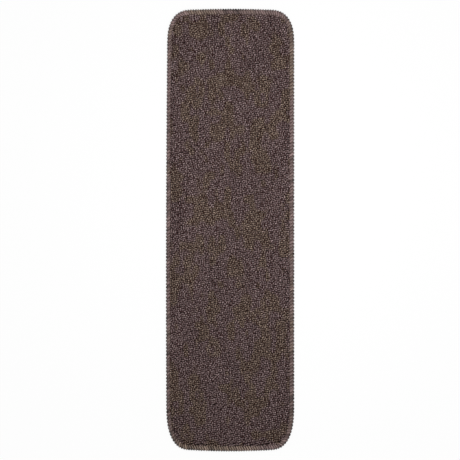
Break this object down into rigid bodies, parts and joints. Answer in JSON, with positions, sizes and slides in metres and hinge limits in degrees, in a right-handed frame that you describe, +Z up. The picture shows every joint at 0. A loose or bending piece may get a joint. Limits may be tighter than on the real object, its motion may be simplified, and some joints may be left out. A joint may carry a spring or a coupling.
{
  "type": "anti slip stair tread mat",
  "caption": "Long narrow tufted carpet mat with rounded corners, a yarn-overlocked edge and a rubber anti-slip underside, laid on one stair tread",
  "frame": {"origin": "middle of the flat underside, where the mat rests on the step", "axes": "+Y runs along the mat's length, +X across its width, +Z up out of the pile"},
  "size_m": [0.227, 0.787, 0.008],
  "materials": {
    "backing": "matte",
    "pile": "matte",
    "edge_yarn": "matte"
  },
  "bodies": {
    "root": {"anti_slip_backing": "backing", "tufted_carpet": "pile", "edge_overlock": "edge_yarn"}
  },
  "joints": []
}
